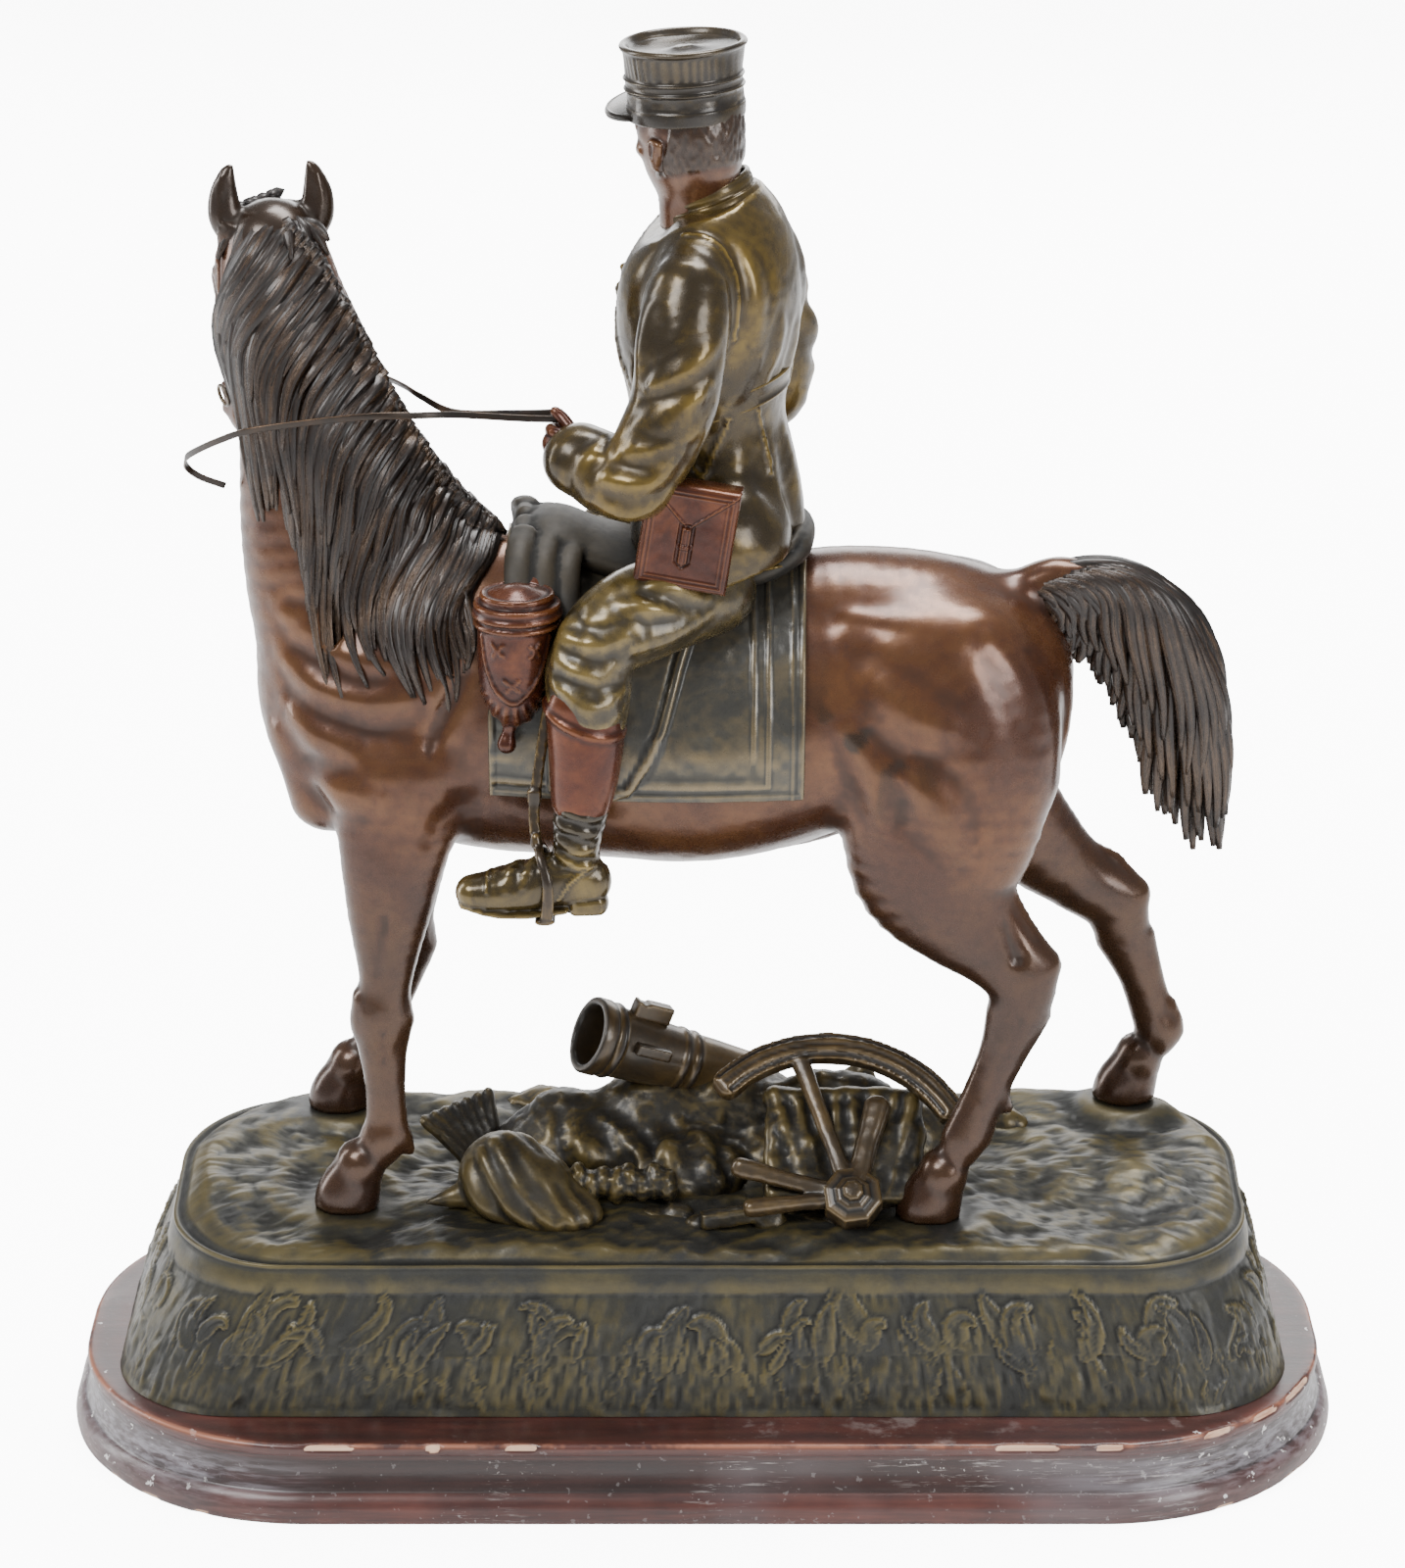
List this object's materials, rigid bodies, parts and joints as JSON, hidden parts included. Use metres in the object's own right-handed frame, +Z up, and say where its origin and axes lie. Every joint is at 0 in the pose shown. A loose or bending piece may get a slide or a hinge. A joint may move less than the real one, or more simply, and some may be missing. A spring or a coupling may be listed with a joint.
{
  "type": "equestrian statuette",
  "caption": "Cast metal statuette of a mounted soldier on a standing horse over a rocky terrace with captured arms, on a moulded oval wooden plinth.",
  "frame": {"origin": "centre of the plinth's underside", "axes": "+Z up; +Y towards the side hidden in the picture, the statuette's depth; the horse faces -X and its near (left) side faces -Y"},
  "size_m": [0.532, 0.232, 0.5864],
  "materials": {
    "painted_wood": "dark red-brown painted wood, satin, chipped and scuffed along its rim",
    "dark_patina": "cast metal with a dark grey-green patina, olive-yellow where rubbed, semi-gloss",
    "brown_patina": "cast metal with a red-brown patina, olive-gold and grey-green in places, glossy",
    "rein_metal": "thin strip metal, dark and dull with brown edges"
  },
  "bodies": {
    "root": {"plinth": "painted_wood", "terrace": "dark_patina", "horse_and_rider": "brown_patina", "rein_near": "rein_metal", "rein_far": "rein_metal"}
  },
  "joints": []
}
